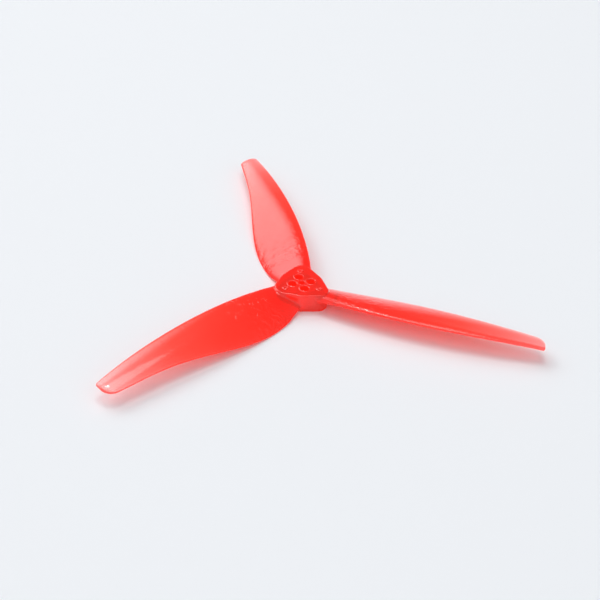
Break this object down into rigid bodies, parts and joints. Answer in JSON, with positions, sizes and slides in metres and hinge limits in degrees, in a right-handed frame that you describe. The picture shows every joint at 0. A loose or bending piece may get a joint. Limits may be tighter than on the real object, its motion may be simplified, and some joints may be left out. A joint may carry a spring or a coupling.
{
  "type": "drone propeller",
  "caption": "Three-blade clockwise propeller for a small racing multirotor, with a flat T-mount hub: a shaft hole and a circle of screw holes.",
  "frame": {"origin": "on the spin axis at the hub's bottom face, where the motor's face meets it", "axes": "+Z along the spin axis in the thrust direction; the first blade points along +X; +Y completes the frame"},
  "size_m": [0.0991, 0.1113, 0.0055],
  "materials": {
    "hub_plastic": "glossy clear red polycarbonate, deep where it is thick",
    "blade_plastic": "glossy clear red polycarbonate, paler towards the thin tips"
  },
  "bodies": {
    "root": {"hub": "hub_plastic", "blade_1": "blade_plastic", "blade_2": "blade_plastic", "blade_3": "blade_plastic"}
  },
  "joints": []
}
